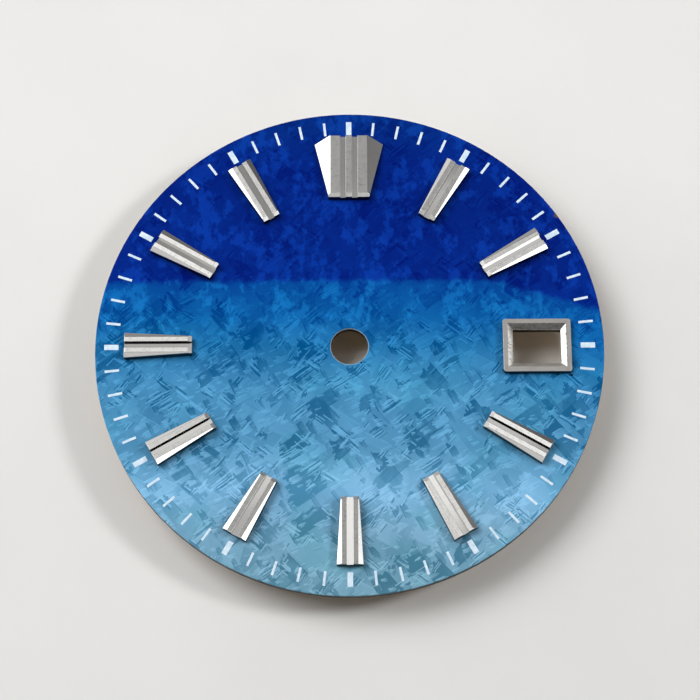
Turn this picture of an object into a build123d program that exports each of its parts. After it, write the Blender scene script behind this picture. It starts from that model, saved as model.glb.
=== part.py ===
from build123d import *
import math
import os

os.makedirs("parts", exist_ok=True)

# A three-hand watch dial with applied indices and a date frame at 3. The origin is on the axis of the
# centre hole, in the back face of the blank. +Z comes out of the face, +Y points to 12 and +X to 3.

# Blank and face, in millimetres
dial_diameter = 28.5
plate_thickness = 0.40
face_thickness = 0.06
face_edge_radius = 0.05
centre_hole_diameter = 2.10
face_setback = 0.04
face_top = plate_thickness + face_thickness

# Divisions of the dial, where the date frame takes the place of the index a quarter turn past 12
full_turn_angle = 360
hours_per_turn = 12
marks_per_hour = 5
date_hour = hours_per_turn // 4
hour_angle = full_turn_angle / hours_per_turn

# Minute track, printed on the face
mark_edge_margin = 0.51
mark_length = 0.81
mark_height = 0.02
minute_mark_width = 0.14
five_minute_mark_width = 0.31
mark_outer_radius = dial_diameter / 2 - mark_edge_margin
mark_inner_radius = mark_outer_radius - mark_length

# What every applied index shares
index_height = 0.53
index_facet_angle = 22
index_bevel_run = 0.21
index_bevel_drop = 0.105
index_tip_bevel = 0.04
groove_depth = 0.24

# Baton indices
baton_mark_gap = 0.34
baton_length = 3.80
baton_inner_width = 1.00
baton_outer_width = 1.46
baton_top_width = 0.90
baton_groove_width = 0.36
baton_outer_radius = mark_inner_radius - baton_mark_gap
baton_inner_radius = baton_outer_radius - baton_length

# Index at 12
twelve_mark_gap = 0.23
twelve_length = 3.82
twelve_shoulder_drop = 0.45
twelve_inner_width = 2.33
twelve_shoulder_width = 3.93
twelve_top_width = 2.12
twelve_groove_width = 0.305
twelve_rib_width = 0.37
twelve_outer_radius = mark_inner_radius - twelve_mark_gap
twelve_inner_radius = twelve_outer_radius - twelve_length
twelve_shoulder_radius = twelve_outer_radius - twelve_shoulder_drop

# Riveted feet of the indices and the frame, drawn with flats instead of round
rivet_foot_diameter = 0.35
rivet_foot_clearance = 0.02
rivet_head_diameter = 0.62
rivet_head_angle = 90
rivet_foot_inset = 0.75
rivet_flats_count = 12

# Date frame and the aperture under it
frame_mark_gap = 0.55
frame_centre_drop = 0.10
frame_length = 3.80
frame_width = 3.10
frame_height = 0.38
frame_corner_radius = 0.14
frame_rim_width = 0.26
frame_slope_run = 0.31
frame_slope_drop = 0.27
aperture_margin = 0.05
aperture_corner_radius = 0.10
frame_centre_radius = mark_inner_radius - frame_mark_gap - frame_length / 2

# Dial feet on the back
dial_foot_diameter = 0.70
dial_foot_length = 2.00
dial_foot_tip_chamfer = 0.10
dial_foot_base_diameter = 1.20
dial_foot_base_thickness = 0.12
dial_foot_seat_clearance = 0.03
dial_foot_edge_margin = 1.35
dial_foot_angles = (52.5, 76.5, 232.5, 256.5)
dial_foot_pitch_radius = dial_diameter / 2 - dial_foot_edge_margin


def radial_plane(angle_from_twelve, height):
    """Level plane whose X runs outwards at an angle clockwise from 12."""
    angle = math.radians(angle_from_twelve)
    return Plane(origin=(0, 0, height), x_dir=(math.sin(angle), math.cos(angle), 0), z_dir=(0, 0, 1))


def save(part, name):
    """Label a finished piece and write it."""
    part.label = name
    export_step(part, f"parts/{name}.step")


def rivet(clearance):
    """Foot with its riveted head at the back, or the countersunk hole that takes it with a clearance."""
    head = rivet_head_diameter / 2
    shank = rivet_foot_diameter / 2 + clearance
    head_depth = (head - shank) / math.tan(math.radians(rivet_head_angle / 2))
    with BuildPart() as foot:
        with BuildSketch(Plane.XY):
            RegularPolygon(head, rivet_flats_count, major_radius=False)
        with BuildSketch(Plane.XY.offset(head_depth)):
            RegularPolygon(shank, rivet_flats_count, major_radius=False)
        loft(ruled=True)
        with BuildSketch(Plane.XY.offset(head_depth)):
            RegularPolygon(shank, rivet_flats_count, major_radius=False)
        extrude(amount=face_top - head_depth)
    return foot.part


def foot_radii(inner_radius, outer_radius):
    """Radii of an index's two feet, set in from its ends."""
    return (inner_radius + rivet_foot_inset, outer_radius - rivet_foot_inset)


# The frame's two feet stand under the middle of its walls, at opposite corners
frame_wall = frame_rim_width + frame_slope_run
frame_foot_x = (frame_length - frame_wall) / 2
frame_foot_y = (frame_width - frame_wall) / 2
frame_feet = [
    (frame_centre_radius - frame_foot_x, -frame_centre_drop - frame_foot_y),
    (frame_centre_radius + frame_foot_x, -frame_centre_drop + frame_foot_y),
]

# Every foot of the indices and the frame, as places on the back
baton_hours = [hour for hour in range(1, hours_per_turn) if hour != date_hour]
rivet_spots = list(frame_feet)
for hour in baton_hours:
    line = radial_plane(hour * hour_angle, 0)
    for radius in foot_radii(baton_inner_radius, baton_outer_radius):
        spot = line.from_local_coords((radius, 0, 0))
        rivet_spots.append((spot.X, spot.Y))
for radius in foot_radii(twelve_inner_radius, twelve_outer_radius):
    rivet_spots.append((0, radius))

# Every dial foot, as a place on the back
dial_foot_spots = []
for angle in dial_foot_angles:
    spot = radial_plane(angle, 0).from_local_coords((dial_foot_pitch_radius, 0, 0))
    dial_foot_spots.append((spot.X, spot.Y))

# The aperture leaves a narrow margin round the opening of the frame
opening_length = frame_length - 2 * frame_wall
opening_width = frame_width - 2 * frame_wall
aperture_length = opening_length + 2 * aperture_margin
aperture_width = opening_width + 2 * aperture_margin

# Blank, drilled from the back
rivet_hole = rivet(rivet_foot_clearance)
back = Plane(origin=(0, 0, 0), x_dir=(1, 0, 0), z_dir=(0, 0, -1))
with BuildPart() as dial_plate:
    with BuildSketch(Plane.XY):
        Circle(dial_diameter / 2)
        Circle(centre_hole_diameter / 2, mode=Mode.SUBTRACT)
        with Locations((frame_centre_radius, -frame_centre_drop)):
            RectangleRounded(aperture_length, aperture_width, aperture_corner_radius, mode=Mode.SUBTRACT)
    extrude(amount=plate_thickness)
    with Locations(*rivet_spots):
        add(rivet_hole, mode=Mode.SUBTRACT)
    with Locations(back):
        with Locations(*[(x, -y) for x, y in dial_foot_spots]):
            Hole(dial_foot_base_diameter / 2 + dial_foot_seat_clearance, depth=dial_foot_base_thickness)
save(dial_plate.part, "dial_plate")

# Textured and lacquered face, rounded at its outer edge and set back from the edge of the centre hole
with BuildPart() as face_layer:
    with BuildSketch(Plane.XY.offset(plate_thickness)):
        Circle(dial_diameter / 2)
        Circle(centre_hole_diameter / 2 + face_setback, mode=Mode.SUBTRACT)
        with Locations((frame_centre_radius, -frame_centre_drop)):
            RectangleRounded(aperture_length, aperture_width, aperture_corner_radius, mode=Mode.SUBTRACT)
    extrude(amount=face_thickness)
    with Locations(*rivet_spots):
        add(rivet_hole, mode=Mode.SUBTRACT)
    rim = face_layer.edges().filter_by(GeomType.CIRCLE).group_by(Axis.Z)[-1].sort_by(SortBy.RADIUS)[-1]
    fillet(rim, radius=face_edge_radius)
save(face_layer.part, "face_layer")


def print_marks(name, width, minutes):
    """Printed marks of one width on the face, at the given minutes past every hour."""
    centre_radius = mark_outer_radius - mark_length / 2
    with BuildPart() as marks:
        with BuildSketch(Plane.XY.offset(face_top)):
            for minute in minutes:
                with PolarLocations(centre_radius, hours_per_turn, minute * hour_angle / marks_per_hour):
                    Rectangle(mark_length, width)
        extrude(amount=mark_height)
    save(marks.part, name)


print_marks("minute_marks", minute_mark_width, range(1, marks_per_hour))
print_marks("five_minute_marks", five_minute_mark_width, [0])

# Every index and the frame stand on such feet
rivet_foot = rivet(0)


def make_index(name, hour, outline, top_width, groove_width, groove_offsets):
    """Applied index: a bar milled with lands, grooves and planar facets, cut to its outline and bevelled.

    The outline's points are (distance from the centre, distance to one side).
    """
    plane = radial_plane(hour * hour_angle, face_top)
    inner_radius = min(radius for radius, side in outline)
    outer_radius = max(radius for radius, side in outline)
    half_bar = max(side for radius, side in outline)
    half_top = top_width / 2
    facet_foot = index_height - (half_bar - half_top) * math.tan(math.radians(index_facet_angle))
    across = Plane(origin=plane.from_local_coords((inner_radius, 0, 0)), x_dir=plane.y_dir, z_dir=plane.x_dir)
    along = Plane(origin=plane.origin, x_dir=plane.x_dir, z_dir=-plane.y_dir)
    with BuildPart() as index:
        with BuildSketch(across):
            with BuildLine():
                Polyline(
                    (-half_bar, 0),
                    (half_bar, 0),
                    (half_bar, facet_foot),
                    (half_top, index_height),
                    (-half_top, index_height),
                    (-half_bar, facet_foot),
                    close=True,
                )
            make_face()
            with Locations(*[(offset, index_height) for offset in groove_offsets]):
                Rectangle(groove_width, 2 * groove_depth, mode=Mode.SUBTRACT)
        extrude(amount=outer_radius - inner_radius)
        with BuildSketch(plane):
            with BuildLine():
                Polyline(*outline, close=True)
            make_face()
        extrude(amount=index_height, mode=Mode.INTERSECT)
        with BuildSketch(along):
            with BuildLine():
                Polyline(
                    (inner_radius, 0),
                    (outer_radius, 0),
                    (outer_radius, index_height - index_tip_bevel),
                    (outer_radius - index_tip_bevel, index_height),
                    (inner_radius + index_bevel_run, index_height),
                    (inner_radius, index_height - index_bevel_drop),
                    close=True,
                )
            make_face()
        extrude(amount=half_bar, both=True, mode=Mode.INTERSECT)
        for radius in foot_radii(inner_radius, outer_radius):
            spot = plane.from_local_coords((radius, 0, 0))
            with Locations((spot.X, spot.Y)):
                add(rivet_foot)
    save(index.part, name)


# Ten batons, which widen outwards and have one groove
baton_outline = [
    (baton_inner_radius, -baton_inner_width / 2),
    (baton_outer_radius, -baton_outer_width / 2),
    (baton_outer_radius, baton_outer_width / 2),
    (baton_inner_radius, baton_inner_width / 2),
]
for hour in baton_hours:
    make_index(f"index_{hour:02d}", hour, baton_outline, baton_top_width, baton_groove_width, [0])

# Broad index at 12, with sloped shoulders and a rib between two grooves
twelve_outline = [
    (twelve_inner_radius, -twelve_inner_width / 2),
    (twelve_shoulder_radius, -twelve_shoulder_width / 2),
    (twelve_outer_radius, -twelve_top_width / 2),
    (twelve_outer_radius, twelve_top_width / 2),
    (twelve_shoulder_radius, twelve_shoulder_width / 2),
    (twelve_inner_radius, twelve_inner_width / 2),
]
twelve_groove_offset = (twelve_rib_width + twelve_groove_width) / 2
make_index(
    "index_12",
    0,
    twelve_outline,
    twelve_top_width,
    twelve_groove_width,
    [-twelve_groove_offset, twelve_groove_offset],
)

# Date frame: a flat rim, four sloped inner walls and a straight-walled opening
slope_top_length = frame_length - 2 * frame_rim_width
slope_top_width = frame_width - 2 * frame_rim_width
frame_top = face_top + frame_height
frame_spot = (frame_centre_radius, -frame_centre_drop)
with BuildPart() as date_frame:
    with BuildSketch(Plane.XY.offset(face_top)):
        with Locations(frame_spot):
            RectangleRounded(frame_length, frame_width, frame_corner_radius)
            Rectangle(opening_length, opening_width, mode=Mode.SUBTRACT)
    extrude(amount=frame_height)
    with BuildSketch(Plane.XY.offset(frame_top - frame_slope_drop)):
        with Locations(frame_spot):
            Rectangle(opening_length, opening_width)
    with BuildSketch(Plane.XY.offset(frame_top)):
        with Locations(frame_spot):
            Rectangle(slope_top_length, slope_top_width)
    loft(ruled=True, mode=Mode.SUBTRACT)
    with Locations(*frame_feet):
        add(rivet_foot)
save(date_frame.part, "date_frame")

# Dial feet: a pin on a wider base that sits in its seat in the back
for number, (x, y) in enumerate(dial_foot_spots, start=1):
    with BuildPart() as dial_foot:
        with BuildSketch(Plane.XY.offset(dial_foot_base_thickness)):
            with Locations((x, y)):
                Circle(dial_foot_base_diameter / 2)
        extrude(amount=-dial_foot_base_thickness)
        with BuildSketch(Plane.XY):
            with Locations((x, y)):
                Circle(dial_foot_diameter / 2)
        extrude(amount=-dial_foot_length)
        tip = dial_foot.edges().group_by(Axis.Z)[0]
        chamfer(tip, length=dial_foot_tip_chamfer)
    save(dial_foot.part, f"dial_foot_{number}")
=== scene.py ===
"""Finish and studio of a watch dial: a flaked blue face, printed minutes and milled metal furniture."""
import logging
import math
from dataclasses import dataclass
from enum import Enum
from typing import Callable, Optional, Sequence, Union

import bmesh
import bpy
from mathutils import Matrix, Vector


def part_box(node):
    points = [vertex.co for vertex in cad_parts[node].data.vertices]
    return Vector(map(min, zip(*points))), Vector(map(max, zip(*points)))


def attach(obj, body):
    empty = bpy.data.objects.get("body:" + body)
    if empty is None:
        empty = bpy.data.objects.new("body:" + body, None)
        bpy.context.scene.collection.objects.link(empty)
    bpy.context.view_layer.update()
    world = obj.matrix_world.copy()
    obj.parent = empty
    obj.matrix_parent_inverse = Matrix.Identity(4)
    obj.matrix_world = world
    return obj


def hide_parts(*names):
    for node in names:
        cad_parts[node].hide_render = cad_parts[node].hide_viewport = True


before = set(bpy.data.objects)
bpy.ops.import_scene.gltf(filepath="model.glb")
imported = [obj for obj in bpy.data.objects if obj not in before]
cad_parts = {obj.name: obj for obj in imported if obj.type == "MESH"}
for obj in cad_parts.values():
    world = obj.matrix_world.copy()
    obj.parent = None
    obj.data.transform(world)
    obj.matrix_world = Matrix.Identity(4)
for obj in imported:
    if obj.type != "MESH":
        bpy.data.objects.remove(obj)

log = logging.getLogger("watch_dial")

BODY = "root"
METRES = 0.001
Socket = bpy.types.NodeSocket
Piece = bpy.types.Object
Face = bpy.types.MeshPolygon
Feed = Union[Socket, float, int, Sequence[float]]
Swatch = tuple[int, int, int]
Pair = tuple[float, float]


def linear(red: int, green: int, blue: int) -> tuple[float, float, float, float]:
    """Colour of a swatch written as screen values from 0 to 255, as the shaders need it.

    Args:
        red, green, blue: The swatch's screen values.

    Returns:
        Linear red, green, blue and an alpha of one.
    """
    toe, slope, offset, power = 0.04045, 12.92, 0.055, 2.4
    channels = []
    for channel in (red, green, blue):
        value = channel / 255
        channels.append(value / slope if value <= toe else ((value + offset) / (1 + offset)) ** power)
    return (channels[0], channels[1], channels[2], 1.0)


def direction(azimuth: float, elevation: float) -> Vector:
    """Direction in which the dial sees a thing in the room.

    Args:
        azimuth: Degrees clockwise from 12.
        elevation: Degrees above the floor.

    Returns:
        A vector of length one.
    """
    turn, rise = math.radians(azimuth), math.radians(elevation)
    return Vector((math.sin(turn) * math.cos(rise), math.cos(turn) * math.cos(rise), math.sin(rise)))


class NodeSheet:
    """Short calls that add and wire the nodes of one tree."""

    def __init__(self, tree: bpy.types.NodeTree) -> None:
        """Keeps the tree that the calls add to."""
        self.tree = tree

    def add(
        self, kind: str, feeds: Optional[dict[Union[str, int], Feed]] = None, **settings: object
    ) -> bpy.types.Node:
        """Adds a node.

        Args:
            kind: Blender's name of the node type.
            feeds: What goes into its inputs, by name or number: a socket to link or a value to set.
            settings: Attributes to set on the node.

        Returns:
            The new node.
        """
        node = self.tree.nodes.new(kind)
        for name, setting in settings.items():
            setattr(node, name, setting)
        for key, value in (feeds or {}).items():
            self.feed(node.inputs[key], value)
        return node

    def feed(self, socket: Socket, value: Feed) -> None:
        """Links a socket to an input, or sets the input's own value.

        Args:
            socket: The input.
            value: A socket to link, or a value to set.
        """
        if isinstance(value, bpy.types.NodeSocket):
            self.tree.links.new(value, socket)
        else:
            socket.default_value = value

    def math(
        self, operation: str, first: Feed, second: Feed = 0.0, third: Feed = 0.0, clamp: bool = False
    ) -> Socket:
        """Result of one number operation."""
        feeds = {0: first, 1: second, 2: third}
        return self.add("ShaderNodeMath", feeds, operation=operation, use_clamp=clamp).outputs[0]

    def plus(self, first: Feed, second: Feed) -> Socket:
        """Sum of two numbers."""
        return self.math("ADD", first, second)

    def minus(self, first: Feed, second: Feed) -> Socket:
        """Difference of two numbers."""
        return self.math("SUBTRACT", first, second)

    def times(self, first: Feed, second: Feed) -> Socket:
        """Product of two numbers."""
        return self.math("MULTIPLY", first, second)

    def vector(self, operation: str, first: Feed, second: Feed = (0.0, 0.0, 0.0)) -> Socket:
        """Result of one vector operation that gives a vector."""
        return self.add("ShaderNodeVectorMath", {0: first, 1: second}, operation=operation).outputs["Vector"]

    def scaled(self, vector: Feed, factor: Feed) -> Socket:
        """A vector times a number."""
        node = self.add("ShaderNodeVectorMath", {0: vector, "Scale": factor}, operation="SCALE")
        return node.outputs["Vector"]

    def axes(self, vector: Feed) -> tuple[Socket, Socket, Socket]:
        """The three numbers of a vector."""
        node = self.add("ShaderNodeSeparateXYZ", {0: vector})
        return node.outputs[0], node.outputs[1], node.outputs[2]

    def combined(self, x: Feed, y: Feed, z: Feed = 0.0) -> Socket:
        """A vector made of three numbers."""
        return self.add("ShaderNodeCombineXYZ", {0: x, 1: y, 2: z}).outputs[0]

    def range(
        self, value: Feed, low: Feed, high: Feed, start: Feed = 0.0, end: Feed = 1.0, smooth: bool = True
    ) -> Socket:
        """A number moved from one range to another and held inside it.

        Args:
            value: The number.
            low, high: The range that it comes from.
            start, end: The range that it goes to.
            smooth: Whether the ends are eased.

        Returns:
            The moved number.
        """
        kind = "SMOOTHSTEP" if smooth else "LINEAR"
        feeds = {0: value, 1: low, 2: high, 3: start, 4: end}
        return self.add("ShaderNodeMapRange", feeds, interpolation_type=kind).outputs[0]

    def noise(self, vector: Feed, scale: Feed, detail: float = 2.0, roughness: float = 0.5) -> Socket:
        """Soft random numbers around a half."""
        feeds = {"Vector": vector, "Scale": scale, "Detail": detail, "Roughness": roughness}
        return self.add("ShaderNodeTexNoise", feeds).outputs["Fac"]

    def mix(self, factor: Feed, first: Feed, second: Feed, blend: str = "MIX") -> Socket:
        """Mixes two colours.

        Args:
            factor: Share of the second colour.
            first, second: The colours.
            blend: Blender's name of the way they are mixed.

        Returns:
            The mixed colour.
        """
        node = self.add("ShaderNodeMix", data_type="RGBA", blend_type=blend)
        sockets = [socket for socket in node.inputs if socket.enabled]
        for socket, value in zip(sockets, (factor, first, second)):
            self.feed(socket, value)
        return next(socket for socket in node.outputs if socket.enabled)

    def between(self, factor: Feed, first: Feed, second: Feed) -> Socket:
        """A number between two others."""
        return self.add("ShaderNodeMix", {0: factor, 2: first, 3: second}, data_type="FLOAT").outputs[0]

    def ramp(self, share: Feed, stops: Sequence[tuple[float, Sequence[float]]]) -> Socket:
        """Reads a colour off a ramp.

        Args:
            share: Where it is read, from 0 to 1.
            stops: Places and colours of the ramp's stops, in order.

        Returns:
            The colour.
        """
        node = self.add("ShaderNodeValToRGB", {"Fac": share})
        marks = node.color_ramp.elements
        while len(marks) < len(stops):
            marks.new(0.5)
        for mark, (place, colour) in zip(marks, stops):
            mark.position = place
            mark.color = colour
        return node.outputs["Color"]


class Effect:
    """A shader node group with named inputs and outputs, built once and placed in each material."""

    title = ""
    inputs: dict[str, tuple[str, float]] = {}
    outputs: dict[str, str] = {}
    made: dict[str, bpy.types.NodeTree] = {}

    @classmethod
    def tree(cls) -> bpy.types.NodeTree:
        """Builds the group at the first call.

        Returns:
            The group's node tree.
        """
        if cls.title not in cls.made:
            tree = bpy.data.node_groups.new(cls.title, "ShaderNodeTree")
            for name, (kind, value) in cls.inputs.items():
                socket = tree.interface.new_socket(name, in_out="INPUT", socket_type=kind)
                if kind == "NodeSocketFloat":
                    socket.default_value = value
            for name, kind in cls.outputs.items():
                tree.interface.new_socket(name, in_out="OUTPUT", socket_type=kind)
            sheet = NodeSheet(tree)
            results = cls.wire(sheet, sheet.add("NodeGroupInput"))
            sheet.add("NodeGroupOutput", results)
            cls.made[cls.title] = tree
        return cls.made[cls.title]

    @classmethod
    def place(cls, sheet: NodeSheet, **feeds: Feed) -> bpy.types.Node:
        """Places the group in a material.

        Args:
            sheet: The material's sheet.
            feeds: Values or sockets for the group's inputs.

        Returns:
            The group's node.
        """
        return sheet.add("ShaderNodeGroup", feeds, node_tree=cls.tree())

    @classmethod
    def wire(cls, sheet: NodeSheet, given: bpy.types.Node) -> dict[str, Feed]:
        """Wires the group.

        Args:
            sheet: The group's sheet.
            given: Its input node.

        Returns:
            What goes to each output.
        """
        raise NotImplementedError


class Millimetres(Effect):
    """Object coordinates in millimetres, and their distance and turn about the dial's centre."""

    title = "millimetres"
    outputs = {"Place": "NodeSocketVector", "Radius": "NodeSocketFloat", "Polar": "NodeSocketVector"}
    middle_radius = 10.0

    @classmethod
    def wire(cls, sheet: NodeSheet, given: bpy.types.Node) -> dict[str, Feed]:
        """Scales the coordinates and works out the polar ones, with the arc length at a middle radius.

        Args:
            sheet: The group's sheet.
            given: Its input node, not used.

        Returns:
            What goes to each output.
        """
        place = sheet.scaled(sheet.add("ShaderNodeTexCoord").outputs["Object"], 1 / METRES)
        x, y, z = sheet.axes(place)
        radius = sheet.math("SQRT", sheet.plus(sheet.times(x, x), sheet.times(y, y)))
        turn = sheet.times(sheet.math("ARCTAN2", y, x), cls.middle_radius)
        return {"Place": place, "Radius": radius, "Polar": sheet.combined(radius, turn, z)}


class Crystals(Effect):
    """Straight-sided crystals that lean one way, as whole plates or combed into thin strokes.

    Its pairs are a factor for a random number and what is added to that.
    """

    title = "crystals"
    inputs = {
        "Place": ("NodeSocketVector", 0.0),
        "Lean": ("NodeSocketFloat", 0.0),
        "Skew": ("NodeSocketFloat", 0.0),
        "Length": ("NodeSocketFloat", 2.0),
        "Girth": ("NodeSocketFloat", 1.0),
        "Row": ("NodeSocketFloat", 0.1),
        "Jag": ("NodeSocketFloat", 0.2),
        "Comb": ("NodeSocketFloat", 0.0),
        "Level": ("NodeSocketFloat", 0.5),
        "Crowding": ("NodeSocketFloat", 0.3),
        "Seed": ("NodeSocketFloat", 0.0),
    }
    outputs = {"Cover": "NodeSocketFloat", "Tone": "NodeSocketFloat", "PaintedRelief": "NodeSocketFloat"}
    sway = 0.7
    sway_scale = 0.25
    softness = 0.015
    relief_line_width = 0.06
    row_spread = 91.0
    length_draw = (0.26, 0.20)
    girth_draw = (0.24, 0.20)
    plate_tone = (0.8, 0.2)
    stroke_tone = (2.0, -1.0)
    stroke_share = 0.5
    stroke_loss = 0.35
    crowd_scale = 0.45
    far_cover = 0.45

    @classmethod
    def wire(cls, sheet: NodeSheet, given: bpy.types.Node) -> dict[str, Feed]:
        """Lays one crystal in each cell of a net, jagged row by row at its ends, and paints a highlight along
        one long side of it and shade along the other.

        Args:
            sheet: The group's sheet.
            given: Its input node.

        Returns:
            What goes to each output.
        """
        give = given.outputs
        laid = cls.net(sheet, give)
        feeds = {"Vector": laid, "Scale": 1.0}
        cell = sheet.add("ShaderNodeTexVoronoi", feeds, voronoi_dimensions="2D", distance="CHEBYCHEV")
        chance, shade, size = sheet.axes(cell.outputs["Color"])
        along, across, _ = sheet.axes(sheet.vector("SUBTRACT", laid, cell.outputs["Position"]))
        along = sheet.times(along, give["Length"])
        across = sheet.times(across, give["Girth"])
        row = sheet.math("FLOOR", sheet.math("DIVIDE", across, give["Row"]))
        draw = sheet.combined(row, sheet.times(shade, cls.row_spread))
        random = sheet.add("ShaderNodeTexWhiteNoise", {"Vector": draw}, noise_dimensions="2D")
        slide, stroke, reach = sheet.axes(random.outputs["Color"])
        start = sheet.plus(along, sheet.times(sheet.minus(slide, 0.5), give["Jag"]))
        half_length = sheet.times(give["Length"], sheet.math("MULTIPLY_ADD", size, *cls.length_draw))
        half_girth = sheet.times(give["Girth"], sheet.math("MULTIPLY_ADD", shade, *cls.girth_draw))
        inside_x = sheet.minus(half_length, sheet.math("ABSOLUTE", start))
        inside_y = sheet.minus(half_girth, sheet.math("ABSOLUTE", across))
        inside = sheet.range(sheet.math("MINIMUM", inside_x, inside_y), 0.0, cls.softness, smooth=False)
        crowd = sheet.minus(sheet.noise(cell.outputs["Position"], cls.crowd_scale, 1.0), 0.5)
        lot = sheet.math("MULTIPLY_ADD", crowd, give["Crowding"], chance)
        present = sheet.times(inside, sheet.math("GREATER_THAN", lot, give["Level"]))
        near_end = sheet.times(half_length, -1.0)
        whole = sheet.range(start, near_end, half_length, 1.0, cls.far_cover, smooth=False)
        kept = sheet.math("GREATER_THAN", reach, cls.stroke_loss)
        bright = sheet.math("GREATER_THAN", stroke, cls.stroke_share)
        plate = sheet.math("MULTIPLY_ADD", shade, *cls.plate_tone)
        striped = sheet.math("MULTIPLY_ADD", bright, *cls.stroke_tone)
        # Painted relief: a thin line of painted highlight along one long side of each crystal and of painted
        # shade along the other.
        rim = sheet.times(sheet.math("LESS_THAN", inside_y, cls.relief_line_width), sheet.math("SIGN", across))
        return {
            "Cover": sheet.times(present, sheet.between(give["Comb"], whole, kept)),
            "Tone": sheet.between(give["Comb"], plate, striped),
            "PaintedRelief": sheet.times(present, rim),
        }

    @classmethod
    def net(cls, sheet: NodeSheet, give: bpy.types.bpy_prop_collection) -> Socket:
        """Turns, bends and skews the face's coordinates and measures them in cells.

        Args:
            sheet: The group's sheet.
            give: The group's inputs.

        Returns:
            Coordinates in which each cell has a side of one.
        """
        moved = sheet.vector("ADD", give["Place"], sheet.combined(give["Seed"], give["Seed"]))
        feeds = {"Vector": moved, "Angle": give["Lean"]}
        turned = sheet.add("ShaderNodeVectorRotate", feeds, rotation_type="Z_AXIS")
        x, y, _ = sheet.axes(turned.outputs[0])
        bend = sheet.times(sheet.minus(sheet.noise(moved, cls.sway_scale, 1.0), 0.5), cls.sway)
        y = sheet.plus(y, bend)
        x = sheet.plus(x, sheet.times(y, give["Skew"]))
        return sheet.combined(sheet.math("DIVIDE", x, give["Length"]), sheet.math("DIVIDE", y, give["Girth"]))


class Grain(Effect):
    """Fine straight grain lines across the X of its coordinates, with a few deeper scratches."""

    title = "grain lines"
    inputs = {
        "Place": ("NodeSocketVector", 0.0),
        "Density": ("NodeSocketFloat", 20.0),
        "Length": ("NodeSocketFloat", 1.0),
    }
    outputs = {"Lines": "NodeSocketFloat", "Scratches": "NodeSocketFloat"}
    scratch_density = 0.35
    scratch_cut = (0.66, 0.74)

    @classmethod
    def wire(cls, sheet: NodeSheet, given: bpy.types.Node) -> dict[str, Feed]:
        """Stretches noise along the lines.

        Args:
            sheet: The group's sheet.
            given: Its input node.

        Returns:
            What goes to each output.
        """
        x, y, z = sheet.axes(given.outputs["Place"])
        along = sheet.math("DIVIDE", y, given.outputs["Length"])
        across = sheet.times(x, given.outputs["Density"])
        lines = sheet.noise(sheet.combined(across, along, z), 1.0, detail=3.0, roughness=0.6)
        wide = sheet.combined(sheet.times(across, cls.scratch_density), along, z)
        coarse = sheet.noise(wide, 1.0, detail=1.0)
        return {"Lines": lines, "Scratches": sheet.range(coarse, *cls.scratch_cut)}


class Speckle(Effect):
    """Scattered dots of dust, pits or spatter."""

    title = "speckle"
    inputs = {
        "Place": ("NodeSocketVector", 0.0),
        "Density": ("NodeSocketFloat", 4.0),
        "Amount": ("NodeSocketFloat", 0.3),
    }
    outputs = {"Dots": "NodeSocketFloat", "Cloud": "NodeSocketFloat"}
    least_dot = 0.08
    dot_spread = 0.22
    dot_core = 0.4
    cloud_density = 0.4

    @classmethod
    def wire(cls, sheet: NodeSheet, given: bpy.types.Node) -> dict[str, Feed]:
        """Keeps the middles of some cells, and gives soft clouds as well.

        Args:
            sheet: The group's sheet.
            given: Its input node.

        Returns:
            What goes to each output.
        """
        place, density = given.outputs["Place"], given.outputs["Density"]
        cell = sheet.add("ShaderNodeTexVoronoi", {"Vector": place, "Scale": density})
        red, green, _ = sheet.axes(cell.outputs["Color"])
        chosen = sheet.math("LESS_THAN", red, given.outputs["Amount"])
        reach = sheet.plus(sheet.times(green, cls.dot_spread), cls.least_dot)
        dot = sheet.range(cell.outputs["Distance"], reach, sheet.times(reach, cls.dot_core))
        cloud = sheet.noise(place, sheet.times(density, cls.cloud_density), detail=3.0)
        return {"Dots": sheet.times(dot, chosen), "Cloud": cloud}


@dataclass(frozen=True)
class Surface:
    """What every finish sets on its Principled shader as plain values."""

    name: str
    metallic: float = 0.0
    specular: float = 0.5
    anisotropic: float = 0.0
    coat: float = 0.0
    coat_roughness: float = 0.05

    def start(self) -> tuple[bpy.types.Material, NodeSheet, bpy.types.Node]:
        """Makes the material.

        Returns:
            The material, its sheet and its Principled shader.
        """
        material = bpy.data.materials.new(self.name)
        material.use_nodes = True
        sheet = NodeSheet(material.node_tree)
        shader = material.node_tree.nodes["Principled BSDF"]
        shader.inputs["Metallic"].default_value = self.metallic
        shader.inputs["Specular IOR Level"].default_value = self.specular
        shader.inputs["Anisotropic"].default_value = self.anisotropic
        shader.inputs["Coat Weight"].default_value = self.coat
        shader.inputs["Coat Roughness"].default_value = self.coat_roughness
        return material, sheet, shader

    @staticmethod
    def emboss(sheet: NodeSheet, shader: bpy.types.Node, strength: float, depth: float, relief: Feed) -> None:
        """Bends the shader's normals by a relief, whose depth is in metres."""
        bump = sheet.add("ShaderNodeBump", {"Strength": strength, "Distance": depth, "Height": relief})
        sheet.feed(shader.inputs["Normal"], bump.outputs[0])


@dataclass(frozen=True)
class Band:
    """Colours of the face at one height of its fade, in the dark and in the bright flakes."""

    height: float
    shade: Swatch
    sheen: Swatch


@dataclass(frozen=True)
class CrystalLayer:
    """One layer of crystals on the face, in millimetres and degrees, and the tone that it has there."""

    lean: float
    skew: float
    length: float
    girth: float
    row: float
    jag: float
    comb: float
    level: float
    crowding: float
    cover: float
    tone: float
    # Strength of the layer's painted highlight and shade lines along the crystals' sides.
    edge: float
    seed: float


@dataclass(frozen=True)
class FaceMark:
    """A small mark on the face: its place and radius in millimetres and its colour."""

    place: Pair
    radius: float
    colour: Swatch
    squeeze: float = 1.0


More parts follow.
